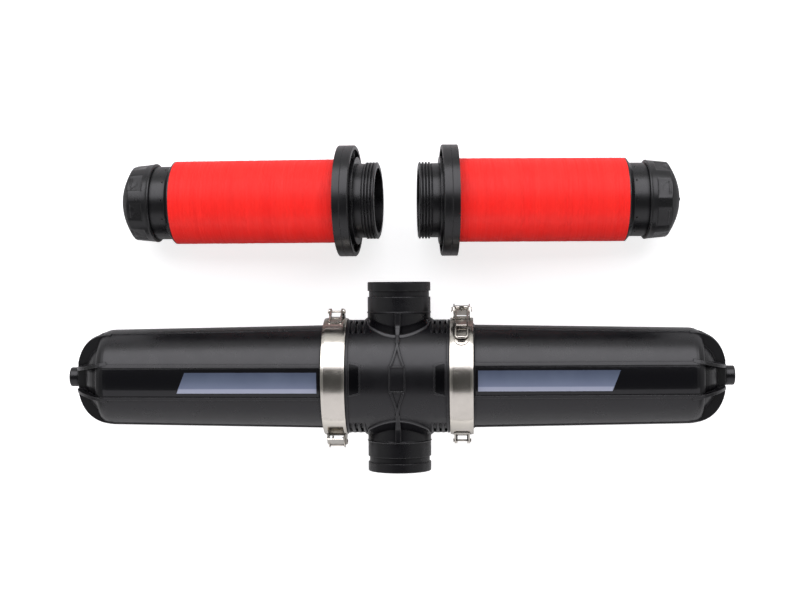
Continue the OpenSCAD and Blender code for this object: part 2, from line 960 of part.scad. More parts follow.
module base_outline() {
    root_r = neck_r - 2.4;
    plain_r = neck_r - 1.7;
    pitch = 4.4;
    crest = 1.7;
    flank = 0.8;
    thread_count = 4;
    thread_end = thread_count * pitch;
    hub_t = 3;
    threads = [for (i = [0 : thread_count - 1]) let (x = pitch * i + 0.4) each [
        [root_r, x], [neck_r, x + flank], [neck_r, x + flank + crest], [root_r, x + 2 * flank + crest]
    ]];
    polygon(concat(
        [[neck_bore_r, 0], [root_r, 0]],
        threads,
        [[root_r, thread_end], [plain_r, thread_end + 1], [plain_r, flange_x0 - hub_t],
         [shoulder_r, flange_x0 - hub_t],
         [shoulder_r, stack_x0], [spine_r, stack_x0], [spine_r, flange_x1 - 4],
         [neck_bore_r, flange_x1 - 4]]
    ));
}

module flange_ring_outline() {
    rim_t = 6;
    edge = 1.2;
    seam_w = 0.8;
    seam_d = 0.5;
    seam_x = flange_x0 + flange_t * 0.52;
    polygon([
        [flange_r - rim_t, flange_x0],
        [flange_r - edge, flange_x0],
        [flange_r, flange_x0 + edge],
        [flange_r, seam_x],
        [flange_r - seam_d, seam_x],
        [flange_r - seam_d, seam_x + seam_w],
        [flange_r, seam_x + seam_w],
        [flange_r, flange_x1],
        [flange_r - rim_t, flange_x1]
    ]);
}

// Slanted vanes between the hub and the rim, which set the water spinning.
module vanes() {
    vane_count = 12;
    vane_t = 2.4;
    vane_a = 32;
    intersection() {
        turn()
            polygon([
                [shoulder_r - 1, flange_x0 + 3], [flange_r - 5, flange_x0 + 3],
                [flange_r - 5, flange_x1 - 3], [shoulder_r - 1, flange_x1 - 3]
            ]);
        for (i = [0 : vane_count - 1])
            rotate([i * 360 / vane_count, 0, 0])
                translate([(flange_x0 + flange_x1) / 2, 0, 0])
                    translate([0, (shoulder_r + flange_r) / 2, 0])
                        rotate([0, vane_a, 0])
                            cube([2 * flange_t, flange_r - shoulder_r + 8, vane_t], center = true);
    }
}

module cartridge_base(side) {
    color(plastic)
        at_cartridge(side) {
            turn()
                base_outline();
            turn()
                flange_ring_outline();
            vanes();
        }
}

// Ribbed tube inside the discs, with windows that let the water through.
module cartridge_spine(side) {
    window_w = 16;
    bay_count = 4;
    bay_gap = 8;
    bay = stack_len / bay_count;
    color(plastic)
        at_cartridge(side)
            difference() {
                x_rod(spine_r, flange_x1 - 4, spine_x1);
                x_rod(spine_bore_r, 0, cart_len);
                for (i = [0 : bay_count - 1], a = [0 : 45 : 135])
                    rotate([a, 0, 0])
                        translate([stack_x0 + i * bay + bay_gap / 2, -window_w / 2, -2 * spine_r])
                            cube([bay - bay_gap, window_w, 4 * spine_r]);
            }
}

// The stack is one solid whose rim shows the grooves between the discs.
module disc_stack(side) {
    pitch = stack_len / groove_count;
    groove = 0.6;
    color(red)
        at_cartridge(side)
            turn()
                polygon(concat(
                    [[spine_r + guide_clear, stack_x0], [disc_r, stack_x0]],
                    [for (i = [1 : groove_count - 1]) let (x = stack_x0 + i * pitch) each [
                        [disc_r, x - groove / 2], [disc_r - groove, x], [disc_r, x + groove / 2]
                    ]],
                    [[disc_r, stack_x1], [spine_r + guide_clear, stack_x1]]
                ));
}

module pressure_sleeve(side) {
    tube_t = 3;
    flare = ring_r - sleeve_r;
    slot_count = 12;
    slot_a = 3;
    slot_w = 1.6;
    slot_x = sleeve_x0 + ring_t + 3;
    color(plastic)
        at_cartridge(side)
            difference() {
                turn()
                    polygon([
                        [spine_r + guide_clear, sleeve_x0],
                        [ring_r, sleeve_x0],
                        [ring_r, sleeve_x0 + ring_t * 0.2],
                        [ring_r - 0.36 * flare, sleeve_x0 + ring_t * 0.46],
                        [sleeve_r + 0.22 * flare, sleeve_x0 + ring_t * 0.8],
                        [sleeve_r, sleeve_x0 + ring_t],
                        [sleeve_r, sleeve_x1],
                        [sleeve_r - tube_t, sleeve_x1],
                        [sleeve_r - tube_t, sleeve_x0 + ring_t - 2],
                        [spine_r + guide_clear, sleeve_x0 + ring_t - 2]
                    ]);
                for (i = [0 : slot_count - 1])
                    rotate([i * 360 / slot_count, 0, 0])
                        turn(slot_a)
                            translate([sleeve_r - tube_t - 1, slot_x])
                                square([tube_t + 2, slot_w]);
            }
}

module cap_outline() {
    rim_h = 0.2;
    rim_len = 2.6;
    skirt_in = cap_r - cap_wall;
    skirt_x = cap_x0 + cap_skirt;
    top_x = cap_x1 - cap_boss_h;
    dome_h = top_x - skirt_x;
    collar_r = spine_r + guide_clear;
    dome = [[1, 0], [0.885, 0.225], [0.745, 0.466], [0.62, 0.648], [0.498, 0.79], [0.375, 0.9], [0.25, 0.972]];
    outer = [for (p = dome) [cap_shoulder_r * p[0], top_x - cap_dome_h * (1 - p[1])]];
    inner = [for (i = [8 : -1 : 0]) let (t = i / 8)
        [(skirt_in - 2) * (1 - t) * 0.8, skirt_x + (dome_h - cap_wall) * pow(t, 0.72)]];
    polygon(concat(
        [[skirt_in, cap_x0], [cap_r + rim_h - 0.6, cap_x0], [cap_r + rim_h, cap_x0 + 0.6],
         [cap_r + rim_h, cap_x0 + rim_len - 0.6], [cap_r, cap_x0 + rim_len]],
        outer,
        [[cap_tip_r, top_x], [0, top_x], [0, top_x - cap_wall]],
        inner,
        [[collar_r, skirt_x], [collar_r, cap_x0 + 8], [collar_r + 2.6, cap_x0 + 8],
         [collar_r + 2.6, skirt_x - 2], [skirt_in, skirt_x - 2]]
    ));
}

// Cap nut with flat grip pads round its shoulder and a crossed boss on its tip.
module cap_nut(side) {
    pad_count = 8;
    pad_a = 30;
    pad_first = 15;
    pad_len = 20.5;
    skirt_len = cap_len - cap_boss_h - cap_dome_h;
    taper = (cap_r - cap_shoulder_r) / skirt_len;
    pad_w = 2 * cap_r * sin(pad_a / 2);
    pad_r = (cap_shoulder_r + taper * pad_len) * cos(pad_a / 2);
    boss_len = cap_tip_r * 2 - 3;
    boss_w = 4;
    color(plastic)
        at_cartridge(side)
            difference() {
                union() {
                    turn()
                        cap_outline();
                    for (a = [0, 90])
                        rotate([a, 0, 0])
                            translate([cap_x1 - cap_boss_h - 1, -boss_len / 2, -boss_w / 2])
                                cube([cap_boss_h + 1, boss_len, boss_w]);
                }
                for (i = [0 : pad_count - 1])
                    rotate([pad_first + i * 360 / pad_count, 0, 0])
                        translate([cap_x0 + skirt_len - pad_len, pad_r, -pad_w / 2])
                            rotate([0, 0, -atan(taper)])
                                cube([pad_len, cap_r, pad_w]);
            }
}

module left_cartridge_base() { cartridge_base(-1); }
module right_cartridge_base() { cartridge_base(1); }
module left_cartridge_spine() { cartridge_spine(-1); }
module right_cartridge_spine() { cartridge_spine(1); }
module left_disc_stack() { disc_stack(-1); }
module right_disc_stack() { disc_stack(1); }
module left_pressure_sleeve() { pressure_sleeve(-1); }
module right_pressure_sleeve() { pressure_sleeve(1); }
module left_cap_nut() { cap_nut(-1); }
module right_cap_nut() { cap_nut(1); }

manifold_body();
left_badge();
right_badge();
left_bowl();
right_bowl();
left_label();
right_label();
left_plug_seal();
right_plug_seal();
left_end_plug();
right_end_plug();
left_clamp_front_band();
left_clamp_back_band();
left_clamp_hinge_pin();
left_latch_catch();
left_latch_bracket();
left_latch_rivets();
left_latch_lever();
left_latch_bail();
left_latch_screw();
right_clamp_front_band();
right_clamp_back_band();
right_clamp_hinge_pin();
right_latch_catch();
right_latch_bracket();
right_latch_rivets();
right_latch_lever();
right_latch_bail();
right_latch_screw();
left_cartridge_base();
left_cartridge_spine();
left_disc_stack();
left_pressure_sleeve();
left_cap_nut();
right_cartridge_base();
right_cartridge_spine();
right_disc_stack();
right_pressure_sleeve();
right_cap_nut();
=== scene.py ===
import cmath
import math
import random

import bmesh
import bpy
from mathutils import Matrix, Vector


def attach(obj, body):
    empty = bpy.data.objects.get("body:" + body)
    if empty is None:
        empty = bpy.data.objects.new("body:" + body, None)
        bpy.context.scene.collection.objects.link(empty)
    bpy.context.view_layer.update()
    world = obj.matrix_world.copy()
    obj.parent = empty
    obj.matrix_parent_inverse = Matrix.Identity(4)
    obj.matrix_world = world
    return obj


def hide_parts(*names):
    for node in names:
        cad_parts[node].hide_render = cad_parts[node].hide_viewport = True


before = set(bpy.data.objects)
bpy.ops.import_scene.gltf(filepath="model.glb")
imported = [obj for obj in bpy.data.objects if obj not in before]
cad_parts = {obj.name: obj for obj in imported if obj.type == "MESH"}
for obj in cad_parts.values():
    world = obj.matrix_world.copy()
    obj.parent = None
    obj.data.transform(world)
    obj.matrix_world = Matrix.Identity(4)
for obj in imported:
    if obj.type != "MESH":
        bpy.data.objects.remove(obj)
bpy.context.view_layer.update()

MM = 0.001

# Places taken over from the part's source, in millimetres.
FILTER_Y = -96.75
AXIS_Z = 82.75
CART_Y = 151.25
JOINT_X = 88.4
BARREL_R = 78.5
PORT_R = 44.45
LABEL_X0 = 107.6
LABEL_ROLL = {-1: 4.0, 1: 2.0}
CART_MID = 213.0
FLANGE_R = 78.5
FLANGE_X1 = 54.8
DISC_R = 59.4
STACK_X0 = 55.8
STACK_LEN = 235.0
CART_LEN = 370.25
SPINE_R = 45.3
CAP_X0 = 319.85
CAP_R = 56.0
CAP_SHOULDER_R = 53.0
CAP_SKIRT = 31.2
CAP_DOME = 17.6
CAP_BOSS = 1.6
CAP_BORE = 52.2
CAP_BORE_LEN = 27.4
CLAMP_R = 82.75
STRAP_R = 84.25
WIRE_R = 1.4
LEVER_IN = 10.05
BAIL_HALF = 8.2
LIE = math.atan2(FLANGE_R - DISC_R, STACK_X0 + STACK_LEN - FLANGE_X1)
CART_LIFT = FLANGE_X1 * math.sin(LIE) + FLANGE_R * math.cos(LIE)


def cartridge_matrix(side):
    """Local X runs along a cartridge from the end of its neck, in millimetres."""
    place = Matrix.Translation(Vector((side * (CART_MID - CART_LEN / 2), CART_Y, CART_LIFT)) * MM)
    turn = Matrix.Rotation(0 if side > 0 else math.pi, 4, "Z")
    return place @ turn @ Matrix.Rotation(LIE, 4, "Y")


# Materials

# The Mix node's colour sockets, which share their names with its other sockets.
MIX_FIRST = 6
MIX_SECOND = 7
MIX_RESULT = 2


class Graph:
    """A material's node tree with short calls to grow it."""

    def __init__(self, name):
        self.mat = bpy.data.materials.new(name)
        self.mat.use_nodes = True
        self.tree = self.mat.node_tree
        self.tree.nodes.clear()
        self.out = self.add("ShaderNodeOutputMaterial")

    def add(self, kind, **settings):
        made = self.tree.nodes.new(kind)
        for key, value in settings.items():
            setattr(made, key, value)
        return made

    def link(self, source, target):
        self.tree.links.new(source, target)

    def shader(self, **sockets):
        made = self.add("ShaderNodeBsdfPrincipled")
        for key, value in sockets.items():
            made.inputs[key].default_value = value
        self.link(made.outputs["BSDF"], self.out.inputs["Surface"])
        return made

    def coords(self, scale=(1, 1, 1)):
        if not hasattr(self, "place"):
            self.place = self.add("ShaderNodeTexCoord").outputs["Object"]
        mapping = self.add("ShaderNodeMapping")
        mapping.inputs["Scale"].default_value = scale
        self.link(self.place, mapping.inputs["Vector"])
        return mapping.outputs["Vector"]

    def noise(self, scale, detail=2.0, rough=0.5, stretch=(1, 1, 1)):
        made = self.add("ShaderNodeTexNoise")
        made.inputs["Scale"].default_value = scale
        made.inputs["Detail"].default_value = detail
        made.inputs["Roughness"].default_value = rough
        self.link(self.coords(stretch), made.inputs["Vector"])
        return made.outputs["Fac"]

    def ramp(self, source, stops):
        made = self.add("ShaderNodeValToRGB")
        items = made.color_ramp.elements
        while len(items) < len(stops):
            items.new(0.5)
        for item, (place, colour) in zip(items, stops):
            item.position = place
            item.color = (*colour, 1.0)
        self.link(source, made.inputs["Fac"])
        return made.outputs["Color"]

    def span(self, source, low, high, from_low=0.3, from_high=0.7):
        made = self.add("ShaderNodeMapRange")
        made.inputs["From Min"].default_value = from_low
        made.inputs["From Max"].default_value = from_high
        made.inputs["To Min"].default_value = low
        made.inputs["To Max"].default_value = high
        self.link(source, made.inputs["Value"])
        return made.outputs["Result"]

    def math(self, operation, first, second):
        made = self.add("ShaderNodeMath", operation=operation)
        for socket, value in zip(made.inputs, (first, second)):
            if isinstance(value, (int, float)):
                socket.default_value = value
            else:
                self.link(value, socket)
        return made.outputs["Value"]

    def mix(self, factor, first, second):
        made = self.add("ShaderNodeMix", data_type="RGBA")
        sockets = (made.inputs["Factor"], made.inputs[MIX_FIRST], made.inputs[MIX_SECOND])
        for socket, value in zip(sockets, (factor, first, second)):
            if isinstance(value, (int, float)):
                socket.default_value = value
            elif isinstance(value, tuple):
                socket.default_value = (*value, 1.0)
            else:
                self.link(value, socket)
        return made.outputs[MIX_RESULT]

    def bump(self, shader, height, strength, distance, soft=None):
        made = self.add("ShaderNodeBump")
        made.inputs["Strength"].default_value = strength
        made.inputs["Distance"].default_value = distance
        self.link(height, made.inputs["Height"])
        if soft is not None:
            self.link(soft, made.inputs["Normal"])
        self.link(made.outputs["Normal"], shader.inputs["Normal"])


def moulded_plastic(name, dark, light, rough_low, rough_high, grain, edge, bend=1.52):
    """Black plastic with a fine grain, dust specks, a painted highlight along its edges and
    painted shade in its hollows.
    """
    g = Graph(name)
    shader = g.shader(IOR=bend)
    cloud = g.noise(14.0, 4.0, 0.6)
    tone = g.ramp(cloud, [(0.25, dark), (0.75, light)])
    dust = g.noise(900.0, 2.0)
    pale = tuple(1.5 * v + 0.003 for v in light)
    tone = g.mix(g.span(dust, 0.0, 0.5, 0.6, 0.8), tone, pale)
    rough = g.span(g.noise(40.0, 5.0, 0.65), rough_low, rough_high)
    soft = None
    if edge > 0:
        soft = g.add("ShaderNodeBevel", samples=4)
        soft.inputs["Radius"].default_value = edge
        soft = soft.outputs["Normal"]
        plain = g.add("ShaderNodeNewGeometry").outputs["Normal"]
        turned = g.add("ShaderNodeVectorMath", operation="DOT_PRODUCT")
        g.link(soft, turned.inputs[0])
        g.link(plain, turned.inputs[1])
        # Painted highlight: the base colour is lightened along edges, where the bevelled normal
        # turns away from the true one.
        painted_edge_highlight = g.span(turned.outputs["Value"], 0.8, 0.0, 0.86, 0.992)
        tone = g.mix(painted_edge_highlight, tone, tuple(0.06 + v for v in light))
        # Painted shade: ambient occlusion lowers the specular level in hollows, creases and inner
        # corners, so they show as dark lines.
        hollow = g.add("ShaderNodeAmbientOcclusion", samples=4)
        hollow.inputs["Distance"].default_value = 0.005
        sheen_with_painted_shade = g.span(hollow.outputs["AO"], 0.05, 0.5, 0.45, 0.92)
        g.link(sheen_with_painted_shade, shader.inputs["Specular IOR Level"])
    g.link(tone, shader.inputs["Base Color"])
    g.link(rough, shader.inputs["Roughness"])
    fine = g.noise(2100.0, 2.0)
    wave = g.noise(55.0, 2.0)
    g.bump(shader, g.math("ADD", fine, g.math("MULTIPLY", wave, 0.6)), grain, 0.0003, soft)
    return g.mat


def bright_steel(name):
    """Brushed stainless steel, smudged, with painted shade darkening its hollows."""
    g = Graph(name)
    shader = g.shader(Metallic=1.0)
    smudge = g.noise(22.0, 4.0, 0.6)
    tone = g.ramp(smudge, [(0.3, (0.68, 0.645, 0.58)), (0.7, (0.77, 0.73, 0.66))])
    # Painted shade: ambient occlusion mixes the base colour towards near black in crevices and
    # gaps.
    hollow = g.add("ShaderNodeAmbientOcclusion", samples=6)
    hollow.inputs["Distance"].default_value = 0.008
    tone = g.mix(g.span(hollow.outputs["AO"], 1.0, 0.0, 0.3, 0.85), tone, (0.05, 0.045, 0.04))
    g.link(tone, shader.inputs["Base Color"])
    lines = g.noise(1.0, 3.0, 0.6, (2600.0, 30.0, 30.0))
    blotch = g.noise(70.0, 3.0)
    patchy = g.math("ADD", g.math("MULTIPLY", lines, 0.5), g.math("MULTIPLY", blotch, 0.5))
    g.link(g.span(patchy, 0.13, 0.25), shader.inputs["Roughness"])
    soft = g.add("ShaderNodeBevel", samples=4)
    soft.inputs["Radius"].default_value = 0.0004
    g.bump(shader, lines, 0.05, 0.0001, soft.outputs["Normal"])
    return g.mat


def red_discs(name):
    """Red plastic that changes a little from disc to disc."""
    g = Graph(name)
    shader = g.shader(IOR=1.4)
    broad = g.noise(1.0, 3.0, 0.7, (70.0, 2.5, 2.5))
    fine = g.noise(1.0, 2.0, 0.6, (900.0, 9.0, 9.0))
    speck = g.noise(700.0, 2.0)
    tone = g.ramp(broad, [(0.3, (0.90, 0.014, 0.010)), (0.7, (0.96, 0.022, 0.015))])
    tone = g.mix(g.span(fine, 0.0, 0.3, 0.45, 0.75), tone, (0.80, 0.010, 0.008))
    tone = g.mix(g.span(speck, 0.0, 0.25, 0.55, 0.8), tone, (0.95, 0.045, 0.032))
    g.link(tone, shader.inputs["Base Color"])
    g.link(g.span(fine, 0.45, 0.62), shader.inputs["Roughness"])
    g.bump(shader, speck, 0.12, 0.0003)
    return g.mat


def bare_label(name, side):
    """Gloss black sheet with a bare slate field that ends in a slanted edge; a pale band along the
    field's low-Y edge is a painted reflection.
    """
    sheet_r = 70.0
    slope = 0.394
    end_edge = (0.2994, 0.2998)
    side_edge = (0.0142, 0.0145)
    start_edge = ((LABEL_X0 + 3.2) * MM, (LABEL_X0 + 3.5) * MM)
    half_height = 0.016
    g = Graph(name)
    shader = g.shader(IOR=1.5)
    split = g.add("ShaderNodeSeparateXYZ")
    g.link(g.coords(), split.inputs["Vector"])
    along = g.math("MULTIPLY", split.outputs["X"], float(side))
    middle = FILTER_Y - sheet_r * math.sin(math.radians(LABEL_ROLL[side]))
    up = g.math("ADD", split.outputs["Y"], -middle * MM)
    across = g.math("MULTIPLY", up, float(side))
    slant = g.math("SUBTRACT", along, g.math("MULTIPLY", across, slope))
    half = g.math("ABSOLUTE", up, 0.0)
    field = g.span(slant, 1.0, 0.0, *end_edge)
    field = g.math("MULTIPLY", field, g.span(half, 1.0, 0.0, *side_edge))
    field = g.math("MULTIPLY", field, g.span(along, 0.0, 1.0, *start_edge))
    # The first two stops are a painted reflection: a pale band along the low-Y edge of the slate
    # field.
    stops = [
        (0.0, (0.29, 0.31, 0.395)),
        (0.235, (0.28, 0.30, 0.385)),
        (0.255, (0.142, 0.166, 0.24)),
        (0.6, (0.087, 0.106, 0.157)),
        (1.0, (0.048, 0.061, 0.096)),
    ]
    slate = g.ramp(g.span(up, 0.0, 1.0, -half_height, half_height), stops)
    slate = g.mix(g.span(g.noise(30.0, 3.0), 0.0, 0.12), slate, (0.2, 0.24, 0.32))
    g.link(g.mix(field, (0.004, 0.004, 0.005), slate), shader.inputs["Base Color"])
    g.link(g.span(g.noise(120.0, 3.0), 0.07, 0.12), shader.inputs["Roughness"])
    g.bump(shader, g.noise(60.0, 2.0), 0.02, 0.0003)
    return g.mat


PLASTIC = moulded_plastic(
    "black_plastic", (0.0020, 0.0019, 0.0027), (0.0036, 0.0034, 0.0046),
    rough_low=0.25, rough_high=0.34, grain=0.16, edge=0.0010)
# Paler plastic laid on rib shoulders and bead tops as a painted highlight.
PAINTED_HIGHLIGHT_PLASTIC = moulded_plastic(
    "painted_highlight_plastic", (0.022, 0.022, 0.024), (0.04, 0.04, 0.043),
    rough_low=0.28, rough_high=0.38, grain=0.12, edge=0.0)
CART_PLASTIC = moulded_plastic(
    "cartridge_plastic", (0.0024, 0.0024, 0.0029), (0.0042, 0.0042, 0.0049),
    rough_low=0.24, rough_high=0.34, grain=0.1, edge=0.0008)
MATT = moulded_plastic(
    "matt_plastic", (0.0024, 0.0024, 0.0030), (0.0042, 0.0042, 0.0050),
    rough_low=0.42, rough_high=0.52, grain=0.16, edge=0.0008, bend=1.25)
GLOSS = moulded_plastic(
    "gloss_black", (0.0012, 0.0012, 0.0016), (0.002, 0.002, 0.0026),
    rough_low=0.16, rough_high=0.24, grain=0.02, edge=0.0, bend=1.28)
RUBBER = moulded_plastic(
    "rubber", (0.008, 0.008, 0.008), (0.014, 0.014, 0.014),
    rough_low=0.6, rough_high=0.75, grain=0.2, edge=0.0)
STEEL = bright_steel("steel")
RED = red_discs("red_discs")
LABELS = {-1: bare_label("left_bare_label", -1), 1: bare_label("right_bare_label", 1)}


def dress(obj, mat):
    obj.data.materials.clear()
    obj.data.materials.append(mat)


def finish_of(name):
    if "label" in name:
        return LABELS[-1 if name.startswith("left") else 1]
    if "badge" in name:
        return GLOSS
    if "seal" in name:
        return RUBBER
    if "disc_stack" in name:
        return RED
    if "clamp" in name or "latch" in name:
        return STEEL
    if "cartridge" in name or "sleeve" in name or "cap_nut" in name:
        return CART_PLASTIC
    return PLASTIC


for node_name, node_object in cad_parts.items():
    dress(node_object, finish_of(node_name))


# Pieces


def mesh_object(name, verts, faces, smooth=True):
    mesh = bpy.data.meshes.new(name)
    mesh.from_pydata([Vector(v) * MM for v in verts], [], faces)
    mesh.validate()
    mesh.update()
    mesh.polygons.foreach_set("use_smooth", [smooth] * len(mesh.polygons))
    made = bpy.data.objects.new(name, mesh)
    bpy.context.scene.collection.objects.link(made)
    return made


def mark_sharp(made, degrees=35.0):
    """Keeps edges crisp where two faces meet at more than the given angle."""
    limit = math.radians(degrees)
    grid = bmesh.new()
    grid.from_mesh(made.data)
    for edge in grid.edges:
        edge.smooth = not (len(edge.link_faces) == 2 and edge.calc_face_angle() > limit)
    grid.to_mesh(made.data)
    grid.free()


def disc_stack(side, name):
    """Separate discs with slightly uneven rims, closed inside by a plain tube."""
    draw = random.Random(11 if side > 0 else 23)
    count = 190
    segs = 96
    pitch = STACK_LEN / count
    rim = 0.74 * pitch
    root_r = DISC_R - 0.8
    mean_r = DISC_R - 0.34
    spread = 0.3
    bevel = 0.08
    verts = []
    faces = []
    rings = []

    def ring(x, radius, shift, tilt, phase):
        rings.append(len(verts))
        for k in range(segs):
            a = 2 * math.pi * k / segs
            y = radius * math.cos(a) + shift[0]
            z = radius * math.sin(a) + shift[1]
            verts.append((x + tilt * math.cos(a + phase), y, z))

    drift = 0.0
    for i in range(count):
        x0 = STACK_X0 + i * pitch
        drift = 0.8 * drift + draw.uniform(-0.05, 0.05)
        radius = mean_r + max(-spread, min(spread, drift + draw.uniform(-0.12, 0.12)))
        shift = (draw.uniform(-0.04, 0.04), draw.uniform(-0.04, 0.04))
        tilt = draw.uniform(-0.07, 0.07) if 0 < i < count - 1 else 0.0
        phase = draw.uniform(0, 2 * math.pi)
        edge0 = x0 + (pitch - rim) / 2
        edge1 = edge0 + rim
        if i == 0:
            ring(STACK_X0, root_r, (0, 0), 0.0, 0.0)
        ring(edge0, radius - bevel, shift, tilt, phase)
        ring((edge0 + edge1) / 2, radius, shift, tilt, phase)
        ring(edge1, radius - bevel, shift, tilt, phase)
        ring(x0 + pitch, root_r, (0, 0), 0.0, 0.0)
    ring(STACK_X0 + STACK_LEN, SPINE_R, (0, 0), 0.0, 0.0)
    ring(STACK_X0, SPINE_R, (0, 0), 0.0, 0.0)
    for a, b in zip(rings, rings[1:] + rings[:1]):
        for k in range(segs):
            n = (k + 1) % segs
            faces.append((a + k, a + n, b + n, b + k))
    made = mesh_object(name, verts, faces, smooth=False)
    made.matrix_world = cartridge_matrix(side)
    dress(made, RED)
    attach(made, "housing")
    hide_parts("left_disc_stack" if side < 0 else "right_disc_stack")
    return made


def tube(verts, faces, path, radii, segs=16):
    """Sweeps a round section along an open path and closes both ends."""
    points = [Vector(p) for p in path]
    last = len(points) - 1
    first = len(verts)
    side = None
    for i, point in enumerate(points):
        along = (points[min(i + 1, last)] - points[max(i - 1, 0)]).normalized()
        if side is None:
            side = along.orthogonal()
        side = (side - along * side.dot(along)).normalized()
        up = along.cross(side)
        for k in range(segs):
            a = 2 * math.pi * k / segs
            verts.append(point + (side * math.cos(a) + up * math.sin(a)) * radii[i])
    for i in range(last):
        a = first + i * segs
        b = a + segs
        faces.extend((a + k, a + (k + 1) % segs, b + (k + 1) % segs, b + k) for k in range(segs))
    faces.append(tuple(first + k for k in reversed(range(segs))))
    faces.append(tuple(first + last * segs + k for k in range(segs)))


def ease(low, high, value):
    """Rises smoothly from 0 to 1 between low and high."""
    t = max(0.0, min(1.0, (value - low) / (high - low)))
    return t * t * (3 - 2 * t)


def saddle(toward, name):
    """Hollow fillet and round bead where a port leaves the barrel.

    Both profiles are (out from the port's wall, out from the barrel's wall).
    """
    front = [
        (0.1, 7.0), (0.5, 5.6), (1.2, 4.4), (2.2, 3.5), (3.4, 2.6),
        (4.8, 1.9), (6.2, 1.4), (7.4, 1.2), (8.0, 1.9), (8.7, 2.5),
        (9.5, 2.7), (10.3, 2.4), (10.9, 1.6), (11.3, 0.6), (11.5, -1.0),
    ]
    flank = [
        (0.1, 4.6), (0.4, 4.4), (0.8, 4.1), (1.2, 3.8), (1.6, 3.5),
        (2.0, 3.25), (2.4, 3.0), (2.8, 2.7), (3.05, 2.45), (3.3, 2.2),
        (3.55, 1.95), (3.8, 1.7), (4.05, 1.4), (4.25, 0.7), (4.35, -1.0),
    ]
    flank_end = math.radians(24.0)
    front_start = math.radians(44.0)
    bead_top = (9, 10)
    steps = 192
    count = len(front)
    verts = []
    faces = []
    for i in range(steps):
        a = 2 * math.pi * i / steps
        share = ease(flank_end, front_start, math.asin(abs(math.sin(a))))
        for (u0, v0), (u1, v1) in zip(flank, front):
            out = PORT_R + u0 + (u1 - u0) * share
            z = out * math.sin(a)
            y = math.sqrt(BARREL_R ** 2 - z ** 2) + v0 + (v1 - v0) * share
            verts.append((out * math.cos(a), FILTER_Y + toward * y, AXIS_Z + z))
    for i in range(steps):
        n = (i + 1) % steps
        for k in range(count):
            j = (k + 1) % count
            quad = (i * count + k, n * count + k, n * count + j, i * count + j)
            faces.append(quad if toward > 0 else quad[::-1])
    made = mesh_object(name, verts, faces)
    dress(made, PLASTIC)
    # The bead's top faces take the paler plastic as a painted highlight.
    made.data.materials.append(PAINTED_HIGHLIGHT_PLASTIC)
    for index, face in enumerate(made.data.polygons):
        face.material_index = 1 if index % count in bead_top else 0
    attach(made, "housing")


def rounded_bar(verts, faces, shoulders, path, sizes):
    """Sweeps a bar with rounded shoulders along points on a surface.

    Sizes are (half width, height), and shoulders gathers the faces that get the painted highlight.
    """
    shape = [
        (-1.0, -1.6), (-1.0, 0.25), (-0.94, 0.6), (-0.8, 0.85), (-0.6, 0.97), (-0.3, 1.0),
        (0.3, 1.0), (0.6, 0.97), (0.8, 0.85), (0.94, 0.6), (1.0, 0.25), (1.0, -1.6),
    ]
    rounded = (1, 2, 8, 9)
    points = [Vector(p) for p in path]
    count = len(shape)
    first = len(verts)
    last = len(points) - 1
    for i, point in enumerate(points):
        along = (points[min(i + 1, last)] - points[max(i - 1, 0)]).normalized()
        middle = Vector((0.0, point.y - FILTER_Y, point.z - AXIS_Z)).normalized()
        side = along.cross(middle).normalized()
        up = side.cross(along)
        for u, v in shape:
            verts.append(point + side * u * sizes[i][0] + up * v * sizes[i][1])
    for i in range(last):
        for k in range(count):
            j = (k + 1) % count
            a, b = first + i * count, first + (i + 1) * count
            if k in rounded:
                shoulders.append(len(faces))
            faces.append((a + k, b + k, b + j, a + j))
    faces.append(tuple(first + k for k in range(count)))
    faces.append(tuple(first + last * count + k for k in reversed(range(count))))


def bar_piece(name, bars):
    """One piece of several rounded bars whose shoulders carry a painted highlight in paler
    plastic.
    """
    verts = []
    faces = []
    shoulders = []
    for path, sizes in bars:
        rounded_bar(verts, faces, shoulders, path, sizes)
    made = mesh_object(name, verts, faces)
    mark_sharp(made, 50.0)
    dress(made, PLASTIC)
    # The shoulder faces take the paler plastic as a painted highlight.
    made.data.materials.append(PAINTED_HIGHLIGHT_PLASTIC)
    for index in shoulders:
        made.data.polygons[index].material_index = 1
    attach(made, "housing")


def split_rib(toward, name):
    """Rounded rib that runs down the port, over the saddle and splits towards the plate."""

    def on_barrel(x, y, lift=0.0):
        return (x, FILTER_Y + toward * y, AXIS_Z + math.sqrt(BARREL_R ** 2 - y ** 2) + lift)

    def on_port(y, lift=0.0):
        return (0.0, FILTER_Y + toward * y, AXIS_Z + PORT_R + lift)

    stem = [
        on_port(90.6), on_port(84.0), on_port(78.0), on_port(73.0, 0.3),
        on_port(70.0, 1.2), on_port(67.4, 3.0), on_port(65.0, 5.3),
        on_barrel(0.0, 61.5, 1.4), on_barrel(0.0, 58.0, 0.9),
        on_barrel(0.0, 54.0), on_barrel(0.0, 50.5),
    ]
    stem_sizes = [
        (4.0, 2.8), (4.0, 2.8), (4.0, 2.8), (3.9, 2.6),
        (3.8, 2.4), (3.6, 2.3), (3.4, 2.2),
        (3.2, 2.1), (3.0, 2.1),
        (2.95, 2.05), (2.9, 2.0),
    ]
    bars = [(stem, stem_sizes)]
    leg_steps = 16
    leg_size = (1.6, 2.0)
    for hand in (-1.0, 1.0):
        leg = []
        for i in range(leg_steps + 1):
            t = i / leg_steps
            leg.append(on_barrel(hand * (8.7 * t ** 1.5 + 0.25), 51.0 - 33.0 * t))
        bars.append((leg, [leg_size] * len(leg)))
    bar_piece(name, bars)


